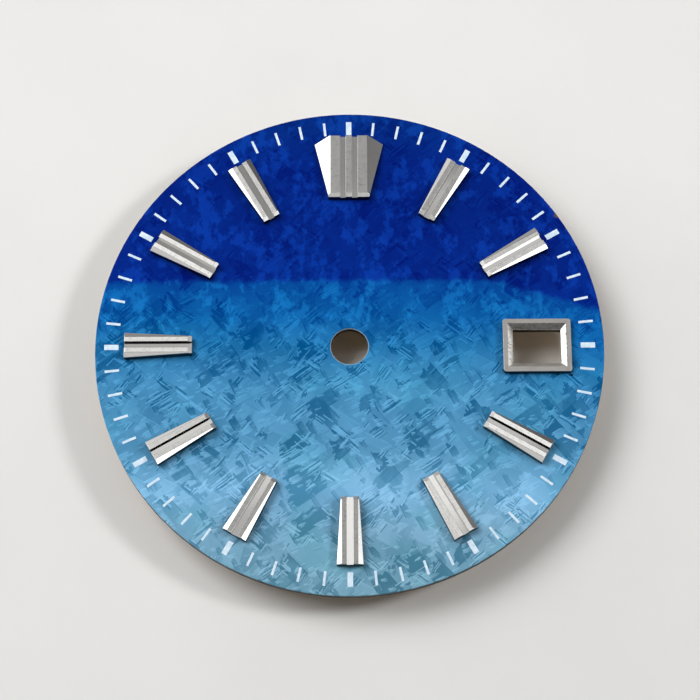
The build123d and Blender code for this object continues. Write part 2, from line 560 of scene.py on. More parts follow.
@dataclass(frozen=True)
class FaceFinish(Surface):
    """Crystal lacquer that fades from deep blue above to pale blue below."""

    name: str = "crystal_lacquer"
    specular: float = 0.012
    coat: float = 0.025
    coat_roughness: float = 0.04
    roughness: float = 0.42
    face_reach: float = 14.25
    relief_scale: float = 2.2
    relief_strength: float = 0.3
    relief_depth: float = 0.00003
    tear: float = 0.045
    tear_scale: float = 3.5
    drift: float = 0.9
    drift_scale: float = 0.26
    crystal_heights: Pair = (4.0, -1.0)
    crystal_strength: Pair = (0.42, 1.0)
    patch_stretch: tuple[float, float, float] = (1.0, 0.7, 1.0)
    patch_scale: float = 1.05
    patch_cut: Pair = (0.49, 0.60)
    patch_tone: Pair = (-0.40, 0.65)
    patch_heights: Pair = (-1.0, 3.0)
    patch_strength: Pair = (0.1, 0.85)
    dot_density: float = 2.6
    dot_amount: float = 0.16
    dot_tone: float = 0.4
    sag: float = 1.8
    sag_reach: Pair = (7.0, 15.0)
    waver: float = 0.6
    waver_scale: float = 1.5
    tone_reach: float = 0.8
    teal_shift: tuple[float, float, float] = (31.0, 7.0, 0.0)
    teal_scale: float = 0.3
    teal_cut: Pair = (0.48, 0.66)
    teal_share: float = 0.6
    ragged_scale: float = 9.0
    ragged_edge: Pair = (1.5, 1.1)
    teal: tuple[float, float, float, float] = (0.80, 1.02, 0.97, 1.0)
    face_marks: tuple[FaceMark, ...] = (
        # A chip in the lacquer near the rim, where what lies under it shows.
        FaceMark((11.83, 7.83), 0.17, (96, 70, 52)),
        FaceMark((0.66, -0.98), 0.07, (22, 24, 28)),
        # Two dark marks painted on the face just below the date frame's lower edge, darkening it there.
        FaceMark((12.36, -1.76), 0.13, (14, 14, 18), squeeze=1.8),
        FaceMark((11.60, -1.72), 0.10, (14, 14, 18), squeeze=2.2),
    )
    bands: tuple[Band, ...] = (
        Band(14.0, (0, 30, 108), (10, 62, 156)),
        Band(11.0, (0, 20, 108), (8, 54, 158)),
        Band(4.05, (0, 22, 112), (9, 58, 164)),
        Band(3.75, (0, 48, 136), (14, 104, 182)),
        Band(1.8, (0, 66, 138), (24, 124, 198)),
        Band(0.0, (0, 81, 137), (50, 139, 199)),
        Band(-2.5, (29, 100, 147), (93, 168, 215)),
        Band(-5.8, (44, 107, 146), (109, 176, 219)),
        Band(-8.2, (76, 140, 180), (147, 205, 245)),
        Band(-10.5, (75, 129, 158), (142, 191, 222)),
        Band(-14.0, (70, 120, 144), (140, 186, 208)),
    )
    layers: tuple[CrystalLayer, ...] = (
        CrystalLayer(-44.0, 0.3, 3.6, 2.1, 0.13, 0.35, 0.0, 0.30, 0.2, 0.9, 0.45, 0.16, 3.7),
        CrystalLayer(46.0, -0.2, 3.4, 1.9, 0.12, 0.35, 0.0, 0.40, 0.2, 0.9, -0.30, 0.18, 11.3),
        CrystalLayer(58.0, -0.3, 2.6, 1.4, 0.10, 0.30, 0.0, 0.50, 0.3, 0.85, 0.58, 0.24, 58.9),
        CrystalLayer(-30.0, 0.2, 2.5, 1.3, 0.10, 0.30, 0.0, 0.54, 0.3, 0.85, 0.58, 0.24, 45.1),
        CrystalLayer(-50.0, 0.5, 2.9, 1.4, 0.11, 0.40, 0.0, 0.64, 0.3, 0.95, -1.20, -0.28, 23.9),
        CrystalLayer(38.0, -0.4, 2.8, 1.3, 0.11, 0.40, 0.0, 0.66, 0.3, 0.95, -1.20, 0.28, 37.1),
        CrystalLayer(28.0, 0.5, 1.2, 0.6, 0.08, 0.25, 0.0, 0.66, 0.6, 0.85, 0.80, 0.34, 71.9),
        CrystalLayer(-62.0, -0.4, 1.1, 0.55, 0.08, 0.25, 0.0, 0.70, 0.6, 0.85, -1.00, 0.34, 78.1),
        CrystalLayer(-38.0, 0.0, 1.2, 0.8, 0.075, 0.55, 1.0, 0.80, 0.7, 0.7, 1.0, 0.0, 67.3),
        CrystalLayer(37.0, 0.0, 1.4, 0.9, 0.07, 0.70, 1.0, 0.82, 0.7, 0.7, 1.0, 0.0, 83.1),
        CrystalLayer(52.0, 0.0, 0.8, 0.5, 0.06, 0.40, 1.0, 0.80, 0.7, 0.7, 1.0, 0.0, 97.9),
        CrystalLayer(20.0, 0.3, 0.6, 0.32, 0.06, 0.15, 0.0, 0.72, 0.8, 0.75, 0.85, 0.34, 109.3),
    )

    def material(self) -> bpy.types.Material:
        """The face's material."""
        material, sheet, shader = self.start()
        place = Millimetres.place(sheet).outputs["Place"]
        tone = self.tone(sheet, place)
        colour = self.fade(sheet, place, tone)
        for face_mark in self.face_marks:
            colour = self.add_face_mark(sheet, place, colour, face_mark)
        sheet.feed(shader.inputs["Base Color"], colour)
        shader.inputs["Roughness"].default_value = self.roughness
        relief = sheet.noise(place, self.relief_scale, detail=3.0, roughness=0.6)
        self.emboss(sheet, shader, self.relief_strength, self.relief_depth, relief)
        return material

    def tone(self, sheet: NodeSheet, place: Socket) -> Socket:
        """Lays crystals below, and soft patches with a few bright specks near 12.

        Args:
            sheet: The material's sheet.
            place: Coordinates in millimetres.

        Returns:
            The tone, which is low in the dark flakes and high in the bright ones.
        """
        _, y, _ = sheet.axes(place)
        feeds = {"Vector": place, "Scale": self.tear_scale, "Detail": 2.0}
        rough = sheet.add("ShaderNodeTexNoise", feeds).outputs["Color"]
        shift = sheet.vector("SUBTRACT", rough, (0.5, 0.5, 0.5))
        torn = sheet.vector("ADD", place, sheet.scaled(shift, self.tear))
        total = self.crystals(sheet, torn)
        tall = sheet.vector("MULTIPLY", torn, self.patch_stretch)
        patch = sheet.noise(tall, self.patch_scale, detail=4.0, roughness=0.66)
        patch = sheet.range(patch, *self.patch_cut, *self.patch_tone)
        specks = Speckle.place(sheet, Place=torn, Density=self.dot_density, Amount=self.dot_amount)
        soft = sheet.math("MULTIPLY_ADD", specks.outputs["Dots"], self.dot_tone, patch)
        total = sheet.times(total, sheet.range(y, *self.crystal_heights, *self.crystal_strength))
        drift = sheet.minus(sheet.noise(place, self.drift_scale), 0.5)
        total = sheet.math("MULTIPLY_ADD", drift, self.drift, total)
        strength = sheet.range(y, *self.patch_heights, *self.patch_strength)
        return sheet.math("MULTIPLY_ADD", soft, strength, total)

    def crystals(self, sheet: NodeSheet, torn: Socket) -> Feed:
        """Lays the layers of crystals over each other.

        Args:
            sheet: The material's sheet.
            torn: Coordinates in millimetres with torn edges.

        Returns:
            The tone of the topmost crystal at each place, with the painted highlight and shade lines along
            the crystals' sides.
        """
        total: Feed = 0.0
        for layer in self.layers:
            crystals = Crystals.place(
                sheet, Place=torn, Lean=math.radians(-layer.lean), Skew=layer.skew, Length=layer.length,
                Girth=layer.girth, Row=layer.row, Jag=layer.jag, Comb=layer.comb, Level=layer.level,
                Crowding=layer.crowding, Seed=layer.seed,
            )
            step = sheet.minus(sheet.times(crystals.outputs["Tone"], layer.tone), total)
            cover = sheet.times(crystals.outputs["Cover"], layer.cover)
            total = sheet.math("MULTIPLY_ADD", cover, step, total)
            # Adds the painted highlight and shade lines along the crystals' sides.
            total = sheet.math("MULTIPLY_ADD", crystals.outputs["PaintedRelief"], layer.edge, total)
        return total

    def fade(self, sheet: NodeSheet, place: Socket, tone: Socket) -> Socket:
        """Colours the crystals by their height on the face.

        Args:
            sheet: The material's sheet.
            place: Coordinates in millimetres.
            tone: The tone of the crystals.

        Returns:
            The face's colour.
        """
        x, y, _ = sheet.axes(place)
        sag = sheet.range(x, *self.sag_reach, 0.0, self.sag)
        waver = sheet.times(sheet.minus(sheet.noise(place, self.waver_scale, 3.0), 0.5), self.waver)
        height = sheet.plus(sheet.plus(y, sag), waver)
        share = sheet.range(height, -self.face_reach, self.face_reach, smooth=False)
        bands = sorted(self.bands, key=lambda band: band.height)
        places = [(band.height + self.face_reach) / (2 * self.face_reach) for band in bands]
        shade = sheet.ramp(share, list(zip(places, [linear(*band.shade) for band in bands])))
        sheen = sheet.ramp(share, list(zip(places, [linear(*band.sheen) for band in bands])))
        colour = sheet.mix(sheet.range(tone, -self.tone_reach, self.tone_reach, smooth=False), shade, sheen)
        cloud = sheet.noise(sheet.vector("ADD", place, self.teal_shift), self.teal_scale, 3.0)
        green = sheet.range(cloud, *self.teal_cut, 0.0, self.teal_share)
        return sheet.mix(green, colour, self.teal, "MULTIPLY")

    def add_face_mark(self, sheet: NodeSheet, place: Socket, colour: Socket, face_mark: FaceMark) -> Socket:
        """Paints one small mark of its own colour on the face.

        Args:
            sheet: The material's sheet.
            place: Coordinates in millimetres.
            colour: The face's colour so far.
            face_mark: The mark.

        Returns:
            The face's colour with the mark.
        """
        step = sheet.vector("SUBTRACT", place, (*face_mark.place, 0.0))
        flat = sheet.vector("MULTIPLY", step, (1.0, face_mark.squeeze, 0.0))
        reach = sheet.add("ShaderNodeVectorMath", {0: flat}, operation="LENGTH").outputs["Value"]
        ragged = sheet.math("MULTIPLY_ADD", sheet.noise(place, self.ragged_scale), face_mark.radius, reach)
        outer, inner = self.ragged_edge
        mask = sheet.range(ragged, outer * face_mark.radius, inner * face_mark.radius)
        return sheet.mix(mask, colour, linear(*face_mark.colour))


@dataclass(frozen=True)
class PrintFinish(Surface):
    """White printing ink, a little uneven."""

    name: str = "white_ink"
    specular: float = 0.3
    roughness: float = 0.45
    thin: Swatch = (204, 227, 244)
    thick: Swatch = (228, 243, 255)
    cloud_density: float = 9.0
    cloud_cut: Pair = (0.35, 0.7)
    relief_strength: float = 0.4
    relief_depth: float = 0.00001

    def material(self) -> bpy.types.Material:
        """The ink's material."""
        material, sheet, shader = self.start()
        place = Millimetres.place(sheet).outputs["Place"]
        cloud = Speckle.place(sheet, Place=place, Density=self.cloud_density).outputs["Cloud"]
        colour = sheet.mix(sheet.range(cloud, *self.cloud_cut), linear(*self.thin), linear(*self.thick))
        sheet.feed(shader.inputs["Base Color"], colour)
        shader.inputs["Roughness"].default_value = self.roughness
        self.emboss(sheet, shader, self.relief_strength, self.relief_depth, cloud)
        return material


class GrainWay(Enum):
    """Which way a metal's grain lines run."""

    ACROSS = "round the dial's centre, so across each index"
    ALONG = "out from the dial's centre, so along each index"
    LEVEL = "from side to side of the dial"


@dataclass(frozen=True)
class MetalFinish(Surface):
    """Plated metal with grain, scratches and specks; where wall heights are given, also painted shade on its
    walls and a painted highlight at the top of the centre hole.
    """

    name: str = "plated_metal"
    metallic: float = 1.0
    colour: Swatch = (230, 229, 226)
    stain: Swatch = (150, 144, 134)
    stain_amount: float = 0.25
    roughness: float = 0.2
    way: GrainWay = GrainWay.ACROSS
    grain_density: float = 30.0
    grain_strength: float = 0.3
    speck_density: float = 5.0
    speck_amount: float = 0.25
    shaded_wall_heights: Optional[Pair] = None
    # Colour of the walls above the back: painted shade, dark where the real walls lie in shade.
    wall: Swatch = (45, 36, 27)
    # Pale blue-grey at the top edge of the centre hole: a painted highlight on the hole's rim.
    ring: Swatch = (188, 208, 216)
    ring_highlight_reach: float = 2.0
    ring_highlight_fade: Pair = (0.015, 0.005)
    wall_shade_fade: float = 0.01
    wall_shade_dullness: float = 0.5
    grain_length: float = 0.9
    cloud_cut: Pair = (0.45, 0.7)
    dot_stain: float = 2.0
    dot_depth: float = 0.5
    line_roughness: float = 0.25
    stain_roughness: float = 0.15
    relief_depth: float = 0.000004

    def material(self) -> bpy.types.Material:
        """The metal's material."""
        material, sheet, shader = self.start()
        where = Millimetres.place(sheet)
        laid = self.laid(sheet, where)
        grain = Grain.place(sheet, Place=laid, Density=self.grain_density, Length=self.grain_length)
        specks = Speckle.place(
            sheet, Place=where.outputs["Place"], Density=self.speck_density, Amount=self.speck_amount
        )
        lines, dots = grain.outputs["Lines"], specks.outputs["Dots"]
        cloudy = sheet.times(sheet.range(specks.outputs["Cloud"], *self.cloud_cut), self.stain_amount)
        worn = sheet.math("MAXIMUM", cloudy, sheet.times(dots, self.stain_amount * self.dot_stain))
        lined = sheet.math("MULTIPLY_ADD", grain.outputs["Scratches"], self.stain_amount, worn, clamp=True)
        colour = sheet.mix(lined, linear(*self.colour), linear(*self.stain))
        if self.shaded_wall_heights:
            colour = self.paint_wall_shade_and_ring_highlight(sheet, shader, where, colour)
        sheet.feed(shader.inputs["Base Color"], colour)
        rough = sheet.times(sheet.minus(lines, 0.5), self.line_roughness * self.roughness)
        rough = sheet.plus(rough, sheet.plus(sheet.times(lined, self.stain_roughness), self.roughness))
        sheet.feed(shader.inputs["Roughness"], rough)
        relief = sheet.minus(lines, sheet.times(dots, self.dot_depth))
        self.emboss(sheet, shader, self.grain_strength, self.relief_depth, relief)
        if self.anisotropic:
            own_place = sheet.add("ShaderNodeTexCoord").outputs["Object"]
            out = sheet.vector("NORMALIZE", sheet.vector("MULTIPLY", own_place, (1.0, 1.0, 0.0)))
            sheet.feed(shader.inputs["Tangent"], out)
        return material

    def laid(self, sheet: NodeSheet, where: bpy.types.Node) -> Socket:
        """Coordinates whose X runs across the grain lines.

        Args:
            sheet: The material's sheet.
            where: The node of the coordinates in millimetres.

        Returns:
            The coordinates.
        """
        if self.way is GrainWay.ACROSS:
            return where.outputs["Polar"]
        x, y, z = sheet.axes(where.outputs["Place" if self.way is GrainWay.LEVEL else "Polar"])
        return sheet.combined(y, x, z)

    def paint_wall_shade_and_ring_highlight(
        self, sheet: NodeSheet, shader: bpy.types.Node, where: bpy.types.Node, colour: Socket
    ) -> Socket:
        """Paints shade on the walls above the back by darkening and dulling them, and paints a highlight on
        the ring at the top of the centre hole.

        Args:
            sheet: The material's sheet.
            shader: Its Principled shader.
            where: The node of the coordinates in millimetres.
            colour: The metal's colour so far.

        Returns:
            The metal's colour with its walls.
        """
        low, high = self.shaded_wall_heights
        height = sheet.axes(where.outputs["Place"])[2]
        # Painted shade on every wall above the back.
        shaded_wall = sheet.range(height, low, low + self.wall_shade_fade)
        at_hole = sheet.math("LESS_THAN", where.outputs["Radius"], self.ring_highlight_reach)
        # Painted highlight on the top edge of the centre hole.
        ring_highlight = sheet.range(height, high - self.ring_highlight_fade[0], high - self.ring_highlight_fade[1])
        metallic = sheet.math("MULTIPLY_ADD", shaded_wall, -self.wall_shade_dullness, self.metallic)
        sheet.feed(shader.inputs["Metallic"], metallic)
        colour = sheet.mix(shaded_wall, colour, linear(*self.wall))
        return sheet.mix(sheet.times(ring_highlight, at_hole), colour, linear(*self.ring))


LAND = MetalFinish(
    name="ground_land", roughness=0.43, anisotropic=0.98, colour=(255, 254, 251), stain=(168, 163, 154),
    grain_density=20.0, grain_strength=0.6, stain_amount=0.2, speck_amount=0.4, speck_density=10.0,
)
FACET = MetalFinish(name="polished_facet", roughness=0.10, grain_strength=0.05, stain_amount=0.06)
GROOVE = MetalFinish(
    name="milled_groove", roughness=0.06, way=GrainWay.ALONG, grain_strength=0.03, stain_amount=0.04
)
# Side walls of the indices and the frame: steel painted dark, as painted shade where the real polished walls
# lie in shade.
SHADED_SIDE = MetalFinish(
    name="side_with_painted_shade", roughness=0.3, colour=(52, 52, 54), stain=(32, 31, 30), grain_strength=0.08,
    stain_amount=0.3,
)
BEVEL = MetalFinish(name="satin_bevel", roughness=0.45, stain_amount=0.2, colour=(220, 219, 216))
RIM = MetalFinish(
    name="satin_rim", roughness=0.38, way=GrainWay.LEVEL, colour=(214, 210, 206), grain_strength=0.2,
    stain_amount=0.2,
)
# The frame's lower inner slope: a rougher satin copy of the slope metal, made lighter in colour as painted
# light.
LIGHTER_LOWER_SLOPE = MetalFinish(
    name="satin_slope_painted_lighter", roughness=0.45, way=GrainWay.LEVEL, colour=(246, 243, 238), grain_strength=0.2,
    stain_amount=0.15,
)
SLOPE = MetalFinish(
    name="bright_slope", roughness=0.1, way=GrainWay.LEVEL, grain_strength=0.45, speck_density=12.0,
    speck_amount=0.4, stain_amount=0.5,
)
# Brass blank: its walls above the back carry painted shade, and the top of its centre hole a painted
# highlight.
BLANK = MetalFinish(
    name="brass_with_painted_wall_shade", roughness=0.42, colour=(206, 178, 126), stain=(128, 100, 66), grain_density=14.0,
    grain_strength=0.5, stain_amount=0.4, shaded_wall_heights=(0.005, 0.40), specular=0.1,
)
COPPER = MetalFinish(
    name="drawn_copper", roughness=0.3, colour=(222, 160, 122), stain=(140, 82, 56), grain_density=10.0,
    grain_strength=0.4, stain_amount=0.3,
)


class Bench:
    """Models pieces in millimetres with Blender's own operators, as by hand."""

    merge_distance = 0.00001
    peg_sides = 40
    corner_angle = math.radians(15.0)
    flat_angle = math.radians(0.5)
    edge_segments = 2
    level_normal = 0.999
    upright_normal = 0.1

    @staticmethod
    def pick(*pieces: Piece) -> None:
        """Selects these pieces alone and makes the last one active.

        Args:
            pieces: The pieces.
        """
        bpy.ops.object.select_all(action="DESELECT")
        for piece in pieces:
            piece.select_set(True)
            bpy.context.view_layer.objects.active = piece

    @classmethod
    def block(cls, low: Sequence[float], high: Sequence[float]) -> Piece:
        """Adds a block.

        Args:
            low, high: Its opposite corners.

        Returns:
            The new piece.
        """
        bpy.ops.object.select_all(action="DESELECT")
        first, last = Vector(low), Vector(high)
        bpy.ops.mesh.primitive_cube_add(size=1.0, location=(first + last) / 2, scale=last - first)
        return cls.settled(bpy.context.object)

    @classmethod
    def peg(
        cls, radius: float, low: Sequence[float], height: float, end_radius: Optional[float] = None
    ) -> Piece:
        """Adds an upright round peg or cone.

        Args:
            radius: Radius at its foot.
            low: Middle of its foot.
            height: Its height.
            end_radius: Radius at its top, where it differs.

        Returns:
            The new piece.
        """
        bpy.ops.object.select_all(action="DESELECT")
        middle = Vector(low) + Vector((0.0, 0.0, height / 2))
        top = radius if end_radius is None else end_radius
        bpy.ops.mesh.primitive_cone_add(
            vertices=cls.peg_sides, radius1=radius, radius2=top, depth=height, location=middle
        )
        return cls.settled(bpy.context.object)

    @classmethod
    def settled(cls, piece: Piece) -> Piece:
        """Puts a piece's place, turn and scale into its mesh.

        Args:
            piece: The piece.

        Returns:
            The same piece.
        """
        cls.pick(piece)
        bpy.ops.object.transform_apply(location=True, rotation=True, scale=True)
        return piece

    @classmethod
    def cut(cls, piece: Piece, point: Sequence[float], normal: Sequence[float]) -> None:
        """Mills away what lies past a plane, and closes the cut.

        Args:
            piece: The piece.
            point: A point of the plane.
            normal: The side that is milled away.
        """
        cls.pick(piece)
        bpy.ops.object.mode_set(mode="EDIT")
        bpy.ops.mesh.select_all(action="SELECT")
        bpy.ops.mesh.bisect(
            plane_co=point, plane_no=Vector(normal).normalized(), threshold=cls.merge_distance, use_fill=True,
            clear_outer=True, clear_inner=False,
        )
        bpy.ops.object.mode_set(mode="OBJECT")

    @classmethod
    def choose(cls, piece: Piece, kind: str, rule: Callable[[object], bool]) -> None:
        """Opens a piece in edit mode with only some of its edges or faces selected.

        Args:
            piece: The piece.
            kind: EDGE or FACE.
            rule: Whether an edge or a face is selected.
        """
        cls.pick(piece)
        bpy.ops.object.mode_set(mode="EDIT")
        bpy.ops.mesh.select_mode(type=kind)
        bpy.ops.mesh.select_all(action="DESELECT")
        bpy.ops.object.mode_set(mode="OBJECT")
        for item in piece.data.edges if kind == "EDGE" else piece.data.polygons:
            item.select = rule(item)
        bpy.ops.object.mode_set(mode="EDIT")

    @classmethod
    def combine(cls, piece: Piece, tool: Piece, operation: str) -> None:
        """Cuts a tool out of a piece, or joins it on, and removes the tool.

        Args:
            piece: The piece to change.
            tool: The piece that is used up.
            operation: DIFFERENCE or UNION.
        """
        cls.pick(piece)
        modifier = piece.modifiers.new("combine", "BOOLEAN")
        modifier.operation = operation
        modifier.object = tool
        modifier.solver = "EXACT"
        bpy.ops.object.modifier_apply(modifier=modifier.name)
        bpy.data.objects.remove(tool)

    @classmethod
    def mark_edges(cls, piece: Piece) -> None:
        """Marks the outward edges to be broken, and keeps the inward ones crisp.

        Args:
            piece: The piece.
        """
        mesh = bmesh.new()
        mesh.from_mesh(piece.data)
        weights = mesh.edges.layers.float.new("bevel_weight_edge")
        for edge in mesh.edges:
            corner = edge.is_manifold and edge.calc_face_angle() > cls.corner_angle
            edge[weights] = 1.0 if corner and edge.is_convex else 0.0
            edge.smooth = not corner or edge.is_convex
        mesh.to_mesh(piece.data)
        mesh.free()

    @classmethod
    def soften(cls, piece: Piece, width: float) -> None:
        """Merges what the cuts left, breaks the outward edges and shades the breaks smooth.

        Args:
            piece: The piece.
            width: Width of the breaks.
        """
        cls.pick(piece)
        bpy.ops.object.mode_set(mode="EDIT")
        bpy.ops.mesh.select_all(action="SELECT")
        bpy.ops.mesh.remove_doubles(threshold=cls.merge_distance)
        bpy.ops.mesh.dissolve_limited(angle_limit=cls.flat_angle)
        bpy.ops.object.mode_set(mode="OBJECT")
        bpy.ops.object.shade_smooth()
        cls.mark_edges(piece)
        modifier = piece.modifiers.new("soften", "BEVEL")
        modifier.width = width
        modifier.segments = cls.edge_segments
        modifier.limit_method = "WEIGHT"
        modifier.harden_normals = True
        bpy.ops.object.modifier_apply(modifier=modifier.name)

    @staticmethod
    def paint(piece: Piece, finishes: Sequence[MetalFinish], rule: Callable[[Face], MetalFinish]) -> None:
        """Gives each face of a piece its finish.

        Args:
            piece: The piece.
            finishes: All the finishes that it wears.
            rule: Which of them a face takes.
        """
        for finish in finishes:
            piece.data.materials.append(bpy.data.materials[finish.name])
        for face in piece.data.polygons:
            face.material_index = finishes.index(rule(face))

    @classmethod
    def copy(cls, piece: Piece, name: str) -> Piece:
        """Copies a piece with a mesh of its own.

        Args:
            piece: The piece.
            name: Name of the copy.

        Returns:
            The copy.
        """
        twin = piece.copy()
        twin.data = piece.data.copy()
        twin.name = name
        bpy.context.scene.collection.objects.link(twin)
        return twin

    @classmethod
    def deliver(cls, piece: Piece, name: str, node: str, slot: str, turn: float = 0.0) -> None:
        """Turns a finished piece to its place, brings it to metres and lets it stand for its node.

        Args:
            piece: The finished piece.
            name: Its name.
            node: The node that it stands for.
            slot: Not used.
            turn: Its turn about the dial's centre, in degrees.
        """
        piece.name = name
        piece.data.name = name
        piece.rotation_euler.z = math.radians(turn)
        piece.scale = (METRES, METRES, METRES)
        cls.settled(piece)
        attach(piece, BODY)
        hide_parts(node)
        log.info("%s stands for %s", name, node)


@dataclass(frozen=True)
class RivetFeet:
    """Riveted feet that hold a piece on the blank, in millimetres."""

    radius: float = 0.175
    head_radius: float = 0.31
    head_depth: float = 0.135
    dish: float = 0.03
    punch_shares: Pair = (0.7, 0.3)

    def join(self, piece: Piece, spots: Sequence[Pair], seat: float) -> None:
        """Joins a foot to a piece at each spot.

        Args:
            piece: The piece that stands on them.
            spots: Their places.
            seat: Height of the piece's underside.
        """
        middle = self.head_depth / 2
        mouth, floor = (self.head_radius * share for share in self.punch_shares)
        for x, y in spots:
            foot = Bench.peg(self.radius, (x, y, middle), seat - middle + self.dish)
            head = Bench.peg(self.head_radius, (x, y, 0.0), self.head_depth, self.radius)
            punch = Bench.peg(mouth, (x, y, -self.dish), 2 * self.dish, floor)
            Bench.combine(head, punch, "DIFFERENCE")
            Bench.combine(foot, head, "UNION")
            Bench.combine(piece, foot, "UNION")


@dataclass
class AppliedIndices:
    """The ring of applied indices: ten batons and the broad one at 12, in millimetres."""

    face_top: float
    height: float
    baton_span: Pair
    twelve_span: Pair
    hours: tuple[int, ...] = (1, 2, 4, 5, 6, 7, 8, 9, 10, 11)
    facet_angle: float = 22.0
    bevel_run: float = 0.21
    bevel_drop: float = 0.105
    tip_bevel: float = 0.04
    groove_depth: float = 0.24
    baton_widths: Pair = (1.00, 1.46)
    baton_top: float = 0.90
    baton_groove: float = 0.36
    twelve_widths: Pair = (2.33, 3.93)
    twelve_shoulder: float = 0.45
    twelve_top: float = 2.12
    twelve_groove: float = 0.305
    twelve_rib: float = 0.37
    foot_inset: float = 0.75
    edge: float = 0.014
    bevel_lean: Pair = (-0.3, 0.8)
    groove_lean: float = 0.9
    feet: RivetFeet = RivetFeet()

    @property
    def top_z(self) -> float:
        """Height of the lands."""
        return self.face_top + self.height

    def bar(self, span: Pair, widths: Pair, top: float, shoulder: float) -> Piece:
        """Mills a bar that points along X.

        Args:
            span: Distances of its ends from the dial's centre.
            widths: Its widths at the inner end and at its widest place.
            top: Width of its flat top.
            shoulder: Length of the shoulders past the widest place.

        Returns:
            The bar, with its facets and bevels but no groove.
        """
        inner, outer = span
        half, top_z = widths[1] / 2, self.top_z
        bar = Bench.block((inner, -half, self.face_top), (outer, half, top_z))
        slant = math.radians(self.facet_angle)
        side_run, side_rise = outer - shoulder - inner, (widths[1] - widths[0]) / 2
        for side in (-1, 1):
            Bench.cut(bar, (inner, side * widths[0] / 2, top_z), (-side_rise, side * side_run, 0.0))
            if shoulder:
                Bench.cut(bar, (outer, side * top / 2, top_z), (half - top / 2, side * shoulder, 0.0))
            Bench.cut(bar, (inner, side * top / 2, top_z), (0.0, side * math.sin(slant), math.cos(slant)))
        Bench.cut(bar, (inner + self.bevel_run, 0.0, top_z), (-self.bevel_drop, 0.0, self.bevel_run))
        Bench.cut(bar, (outer - self.tip_bevel, 0.0, top_z), (self.tip_bevel, 0.0, self.tip_bevel))
        return bar

    def groove(self, bar: Piece, span: Pair, middle: float, width: float) -> None:
        """Mills a straight groove along the whole of a bar.

        Args:
            bar: The bar.
            span: Distances of the bar's ends from the dial's centre.
            middle: How far the groove's middle is from the bar's.
            width: The groove's width.
        """
        low = (span[0] - width, middle - width / 2, self.top_z - self.groove_depth)
        high = (span[1] + width, middle + width / 2, self.top_z + width)
        Bench.combine(bar, Bench.block(low, high), "DIFFERENCE")

    def finish_of(self, face: Face) -> MetalFinish:
        """Which finish a face takes, by the way it faces and its height.

        Args:
            face: A face of an index.

        Returns:
            Its finish.
        """
        level = face.normal.z > Bench.level_normal
        if level and face.center.z > self.top_z - self.tip_bevel:
            return LAND
        if face.center.z > self.face_top and (level or self.in_groove(face)):
            return GROOVE
        if face.normal.x < self.bevel_lean[0] and face.normal.z > self.bevel_lean[1]:
            return BEVEL
        if face.normal.z > Bench.upright_normal or face.center.z < self.face_top - self.tip_bevel:
            return FACET
        return SHADED_SIDE

    def in_groove(self, face: Face) -> bool:
        """Whether a face is one of a groove's walls, which face level and sideways above its floor."""
        sideways = abs(face.normal.y) > self.groove_lean and abs(face.normal.z) < Bench.upright_normal
        return sideways and face.center.z > self.top_z - self.groove_depth

    def model(
        self, span: Pair, widths: Pair, top: float, grooves: Sequence[float], groove_width: float,
        shoulder: float = 0.0,
    ) -> Piece:
        """Models a whole index that points along X, with its feet.

        Args:
            span: Distances of its ends from the dial's centre.
            widths: Its widths at the inner end and at its widest place.
            top: Width of its flat top.
            grooves: How far each groove's middle is from the bar's.
            groove_width: The grooves' width.
            shoulder: Length of the shoulders past the widest place.

        Returns:
            The index.
        """
        bar = self.bar(span, widths, top, shoulder)
        for middle in grooves:
            self.groove(bar, span, middle, groove_width)
        Bench.soften(bar, self.edge)
        spots = [(span[0] + self.foot_inset, 0.0), (span[1] - self.foot_inset, 0.0)]
        self.feet.join(bar, spots, self.face_top)
        Bench.paint(bar, (LAND, FACET, GROOVE, SHADED_SIDE, BEVEL), self.finish_of)
        return bar

    def build(self) -> None:
        """Models one baton and the index at 12, and copies the baton round the ring."""
        baton = self.model(self.baton_span, self.baton_widths, self.baton_top, (0.0,), self.baton_groove)
        for hour in self.hours:
            copy = Bench.copy(baton, f"applied_index_{hour:02d}")
            Bench.deliver(copy, copy.name, f"index_{hour:02d}", "applied_index", 90.0 - 30.0 * hour)
        bpy.data.objects.remove(baton)
        offset = (self.twelve_rib + self.twelve_groove) / 2
        twelve = self.model(
            self.twelve_span, self.twelve_widths, self.twelve_top, (-offset, offset), self.twelve_groove,
            self.twelve_shoulder,
        )
        Bench.deliver(twelve, "applied_index_12", "index_12", "applied_index", 90.0)


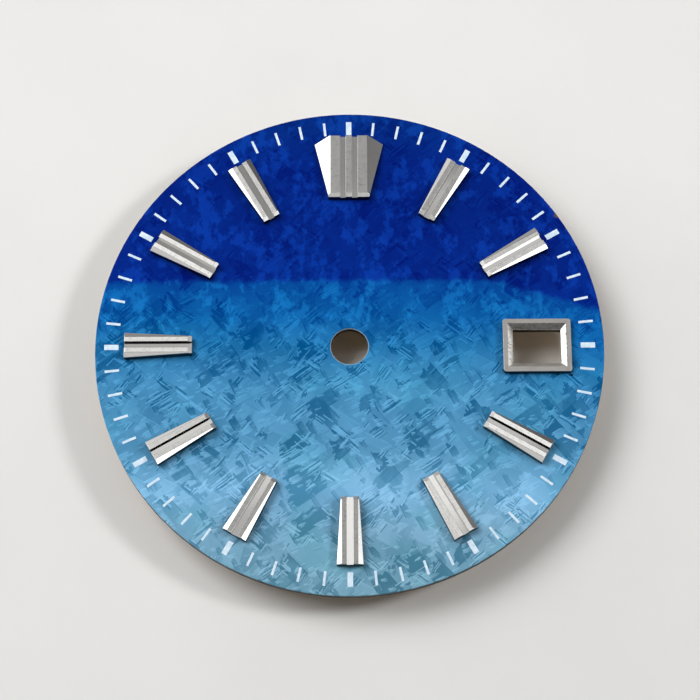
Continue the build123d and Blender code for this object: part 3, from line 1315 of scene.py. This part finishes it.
@dataclass
class DateFrame:
    """The applied frame round the date window, in millimetres."""

    face_top: float
    height: float
    centre: Pair = (10.48, -0.10)
    length: float = 3.80
    width: float = 3.10
    corner_radius: float = 0.14
    rim: float = 0.26
    slope_run: float = 0.31
    slope_drop: float = 0.27
    edge: float = 0.018
    corner_segments: int = 6
    lower_slope_lean: float = 0.3
    feet: RivetFeet = RivetFeet()

    def build(self) -> None:
        """Models the frame: a block with rounded corners, sloped inner walls and a straight opening."""
        x, y = self.centre
        half_length, half_width, top_z = self.length / 2, self.width / 2, self.face_top + self.height
        low = (x - half_length, y - half_width, self.face_top)
        body = Bench.block(low, (x + half_length, y + half_width, top_z))
        self.round_corners(body)
        Bench.combine(body, self.slope_cutter(top_z), "DIFFERENCE")
        Bench.soften(body, self.edge)
        wall = self.rim + self.slope_run
        foot_x, foot_y = (self.length - wall) / 2, (self.width - wall) / 2
        self.feet.join(body, [(x - foot_x, y - foot_y), (x + foot_x, y + foot_y)], self.face_top)
        Bench.paint(body, (RIM, SLOPE, SHADED_SIDE, LIGHTER_LOWER_SLOPE), self.finish_of)
        Bench.deliver(body, "applied_date_frame", "date_frame", "date_frame")

    def finish_of(self, face: Face) -> MetalFinish:
        """Which finish a face takes, by the way it faces and its height.

        Args:
            face: A face of the frame.

        Returns:
            Its finish.
        """
        if face.normal.z > Bench.level_normal and face.center.z > self.face_top:
            return RIM
        if face.normal.z < Bench.upright_normal and face.center.z > self.face_top - self.slope_drop:
            return SHADED_SIDE
        return LIGHTER_LOWER_SLOPE if face.normal.y > self.lower_slope_lean and face.center.z > self.face_top else SLOPE

    def round_corners(self, body: Piece) -> None:
        """Rounds the four upright corners.

        Args:
            body: The block.
        """
        points = body.data.vertices

        def upright(edge: bpy.types.MeshEdge) -> bool:
            """Whether an edge runs up a corner."""
            start, end = (points[index].co.z for index in edge.vertices)
            return abs(start - end) > self.height / 2

        Bench.choose(body, "EDGE", upright)
        bpy.ops.mesh.bevel(offset=self.corner_radius, segments=self.corner_segments, affect="EDGES")
        bpy.ops.object.mode_set(mode="OBJECT")

    def slope_cutter(self, top_z: float) -> Piece:
        """Models the tool that leaves the sloped walls and the opening: a block whose upper part widens.

        Args:
            top_z: Height of the frame's top.

        Returns:
            The tool.
        """
        x, y = self.centre
        wall, over = self.rim + self.slope_run, self.slope_drop
        half_length, half_width = self.length / 2 - wall, self.width / 2 - wall
        low, high = self.face_top - over, top_z - self.slope_drop
        tool = Bench.block((x - half_length, y - half_width, low), (x + half_length, y + half_width, high))
        Bench.choose(tool, "FACE", lambda face: face.normal.z > Bench.level_normal)
        bpy.ops.mesh.extrude_region_move(TRANSFORM_OT_translate={"value": (0.0, 0.0, self.slope_drop + over)})
        grow = self.slope_run * (self.slope_drop + over) / self.slope_drop
        factors = (1 + grow / half_length, 1 + grow / half_width, 1.0)
        bpy.ops.transform.resize(value=factors, center_override=(x, y, high))
        bpy.ops.object.mode_set(mode="OBJECT")
        return tool


@dataclass
class BareParts:
    """The nodes whose solids are right as they are, with the finish that each one takes."""

    finishes: tuple[tuple[str, str], ...] = (
        ("dial_plate", BLANK.name),
        ("face_layer", FaceFinish.name),
        ("minute_marks", PrintFinish.name),
        ("five_minute_marks", PrintFinish.name),
        *((f"dial_foot_{number}", COPPER.name) for number in range(1, 5)),
    )

    def dress(self) -> None:
        """Gives each node its material."""
        for node, finish in self.finishes:
            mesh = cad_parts[node].data
            mesh.materials.clear()
            mesh.materials.append(bpy.data.materials[finish])
            log.info("%s wears %s", node, finish)


@dataclass(frozen=True)
class Softbox:
    """A soft lamp that faces the dial, with sizes and distance in metres."""

    name: str
    azimuth: float
    elevation: float
    width: float
    height: float
    radiance: float
    distance: float = 0.45
    mirrored: bool = True
    lights: bool = True

    def build(self) -> None:
        """Adds the lamp."""
        data = bpy.data.lights.new(self.name, "AREA")
        data.shape = "RECTANGLE"
        data.size, data.size_y = self.width, self.height
        data.energy = math.pi * self.width * self.height * self.radiance
        lamp = bpy.data.objects.new(self.name, data)
        bpy.context.scene.collection.objects.link(lamp)
        way = direction(self.azimuth, self.elevation)
        lamp.location = way * self.distance
        lamp.rotation_euler = way.to_track_quat("Z", "Y").to_euler()
        lamp.visible_camera = False
        lamp.visible_glossy = self.mirrored
        lamp.visible_diffuse = self.lights


@dataclass(frozen=True)
class Card:
    """A flat card that reflections see, dark or pale by its tone, and that blocks light where it says so."""

    name: str
    azimuth: float
    elevation: float
    width: float
    height: float
    distance: float
    tone: float = 0.0
    blocks: bool = False
    mirrored: bool = True

    def build(self) -> None:
        """Adds the card."""
        bpy.ops.object.select_all(action="DESELECT")
        way = direction(self.azimuth, self.elevation)
        bpy.ops.mesh.primitive_plane_add(
            size=1.0, location=way * self.distance, rotation=way.to_track_quat("Z", "Y").to_euler()
        )
        card = bpy.context.object
        card.name = self.name
        card.scale = (self.width, self.height, 1.0)
        material = bpy.data.materials.new(self.name)
        material.use_nodes = True
        sheet = NodeSheet(material.node_tree)
        glow = sheet.add("ShaderNodeEmission", {"Color": (1.0, 1.0, 1.0, 1.0), "Strength": self.tone})
        sheet.feed(material.node_tree.nodes["Material Output"].inputs["Surface"], glow.outputs[0])
        card.data.materials.append(material)
        card.visible_camera = False
        card.visible_diffuse = card.visible_shadow = self.blocks
        card.visible_glossy = self.mirrored


@dataclass(frozen=True)
class Camera:
    """The camera that saw the dial, in millimetres, degrees and pixels of a frame 700 wide."""

    focal_pixels: float = 2213.401
    distance: float = 123.816
    elevation: float = 71.072
    azimuth: float = 0.817
    roll: float = -1.076
    aim: Pair = (0.056, -0.249)
    frame_pixels: float = 700.0
    half_pixel: float = 0.5
    sensor: float = 36.0
    clip: Pair = (0.001, 10.0)

    def build(self, face_top: float) -> None:
        """Adds the camera, aimed at a point on the face.

        Args:
            face_top: Height of the face above the back.
        """
        turn, rise, roll = (math.radians(value) for value in (self.azimuth, self.elevation, self.roll))
        back = Vector((math.sin(turn) * math.cos(rise), -math.cos(turn) * math.cos(rise), math.sin(rise)))
        level = Vector((math.cos(turn), math.sin(turn), 0.0))
        over = back.cross(level)
        right = level * math.cos(roll) + over * math.sin(roll)
        up = over * math.cos(roll) - level * math.sin(roll)
        step = self.half_pixel * self.distance / self.focal_pixels
        place = Vector((*self.aim, face_top)) + back * self.distance - right * step + up * step
        data = bpy.data.cameras.new("camera")
        data.sensor_width = self.sensor
        data.lens = self.sensor * self.focal_pixels / self.frame_pixels
        data.clip_start, data.clip_end = self.clip
        camera = bpy.data.objects.new("camera", data)
        bpy.context.scene.collection.objects.link(camera)
        pose = Matrix((right, up, back)).transposed().to_4x4()
        camera.matrix_world = Matrix.Translation(place * METRES) @ pose
        bpy.context.scene.camera = camera


@dataclass
class Studio:
    """Pale floor, grey room, soft lamps, and the pale and dark cards that the metal mirrors."""

    floor_height: float
    floor_size: float = 3.0
    clearance: float = 0.00001
    floor_shades: tuple[Swatch, Swatch] = ((228, 227, 225), (232, 231, 229))
    floor_cloud: float = 60.0
    floor_cut: Pair = (0.3, 0.7)
    floor_roughness: float = 0.9
    floor_specular: float = 0.1
    dark_way: Pair = (32.0, 33.0)
    levels: tuple[Pair, ...] = (
        (0.0, 0.12), (17.0, 0.17), (33.0, 0.29), (40.0, 0.40), (60.0, 0.62), (90.0, 0.68), (120.0, 0.92),
        (180.0, 0.92),
    )
    softboxes: tuple[Softbox, ...] = (
        Softbox("softbox_left", -63.0, 49.0, 0.34, 0.25, 1.70),
        Softbox("softbox_right", 112.0, 56.0, 0.46, 0.22, 1.72, lights=False),
        Softbox("softbox_low", -72.0, 13.0, 0.30, 0.12, 1.35),
        Softbox("softbox_above", 0.0, 80.0, 0.13, 0.066, 1.15, mirrored=False),
        Softbox("softbox_fill_left", -62.0, 54.0, 0.26, 0.26, 4.15, mirrored=False),
        Softbox("softbox_fill_right", 82.0, 44.0, 0.085, 0.085, 30.5, mirrored=False),
    )
    cards: tuple[Card, ...] = (
        Card("card_dark_middle", 180.8, 76.0, 0.070, 0.032, 0.123, blocks=True),
        Card("card_dark_round", 180.0, 76.0, 0.13, 0.07, 0.126, 0.03, blocks=True, mirrored=False),
        Card("card_dark_low", 180.0, 40.0, 1.50, 0.46, 0.40, 0.03, blocks=True, mirrored=False),
        Card("card_above", -29.0, 63.0, 0.22, 0.075, 0.40, 0.30),
        Card("card_pale_right", 12.5, 70.6, 0.034, 0.070, 0.38, 0.64),
        Card("card_pale_left", -15.5, 73.2, 0.042, 0.036, 0.38, 0.78),
        Card("card_pale_above", 3.0, 76.5, 0.036, 0.036, 0.37, 1.05),
        Card("card_left_low", -30.0, 31.0, 0.098, 0.07, 0.50, 0.80),
        Card("card_right_low", 44.0, 32.5, 0.06, 0.06, 0.50, 0.28),
        Card("card_right_mid", 66.5, 38.4, 0.04, 0.04, 0.50, 0.58),
        Card("card_right_high", 71.0, 45.2, 0.05, 0.05, 0.50, 1.05),
        Card("card_near", 200.0, 30.0, 0.60, 0.30, 0.50, 0.14),
        Card("card_right", 78.0, 6.0, 0.40, 0.10, 0.50, 0.95),
    )

    def build(self) -> None:
        """Builds the floor, the world, the lamps and the cards."""
        self.floor()
        self.world()
        for softbox in self.softboxes:
            softbox.build()
        for card in self.cards:
            card.build()

    def floor(self) -> None:
        """Adds the sheet that the dial stands on, opaque from above and clear from below."""
        bpy.ops.object.select_all(action="DESELECT")
        height = self.floor_height - self.clearance
        bpy.ops.mesh.primitive_plane_add(size=self.floor_size, location=(0.0, 0.0, height))
        floor = bpy.context.object
        floor.name = "floor"
        material = bpy.data.materials.new("floor")
        material.use_nodes = True
        sheet = NodeSheet(material.node_tree)
        shader = material.node_tree.nodes["Principled BSDF"]
        place = sheet.add("ShaderNodeTexCoord").outputs["Object"]
        cloud = sheet.noise(place, self.floor_cloud, detail=4.0, roughness=0.6)
        first, second = self.floor_shades
        colour = sheet.mix(sheet.range(cloud, *self.floor_cut), linear(*first), linear(*second))
        sheet.feed(shader.inputs["Base Color"], colour)
        shader.inputs["Roughness"].default_value = self.floor_roughness
        shader.inputs["Specular IOR Level"].default_value = self.floor_specular
        below = sheet.add("ShaderNodeNewGeometry").outputs["Backfacing"]
        clear = sheet.add("ShaderNodeBsdfTransparent").outputs[0]
        mixed = sheet.add("ShaderNodeMixShader", {0: below, 1: shader.outputs[0], 2: clear}).outputs[0]
        sheet.feed(material.node_tree.nodes["Material Output"].inputs["Surface"], mixed)
        floor.data.materials.append(material)

    def world(self) -> None:
        """Sets a grey room that darkens towards one side."""
        world = bpy.data.worlds.new("studio")
        bpy.context.scene.world = world
        world.use_nodes = True
        sheet = NodeSheet(world.node_tree)
        way = sheet.add("ShaderNodeTexCoord").outputs["Generated"]
        dark_way = direction(*self.dark_way)
        dark = sheet.add("ShaderNodeVectorMath", {0: way, 1: dark_way}, operation="DOT_PRODUCT")
        turn = sheet.math("DIVIDE", sheet.math("ARCCOSINE", dark.outputs["Value"]), math.pi)
        stops = [(angle / 180.0, (level, level, level, 1.0)) for angle, level in self.levels]
        sheet.feed(world.node_tree.nodes["Background"].inputs["Color"], sheet.ramp(turn, stops))


def main() -> None:
    """Builds the finishes, the pieces and the studio."""
    logging.basicConfig(level=logging.INFO, format="%(message)s")
    bpy.context.scene.view_settings.view_transform = "Standard"
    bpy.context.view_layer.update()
    metals = (LAND, FACET, GROOVE, SHADED_SIDE, BEVEL, RIM, LIGHTER_LOWER_SLOPE, SLOPE, BLANK, COPPER)
    for finish in (FaceFinish(), PrintFinish(), *metals):
        finish.material()
    face_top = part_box("face_layer")[1].z / METRES
    baton_low, baton_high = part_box("index_09")
    twelve_low, twelve_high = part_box("index_12")
    date_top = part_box("date_frame")[1].z / METRES
    indices = AppliedIndices(
        face_top=face_top,
        height=baton_high.z / METRES - face_top,
        baton_span=(-baton_high.x / METRES, -baton_low.x / METRES),
        twelve_span=(twelve_low.y / METRES, twelve_high.y / METRES),
    )
    indices.build()
    DateFrame(face_top=face_top, height=date_top - face_top).build()
    BareParts().dress()
    Studio(floor_height=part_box("dial_foot_1")[0].z).build()
    Camera().build(face_top)


if __name__ == "__main__":
    main()
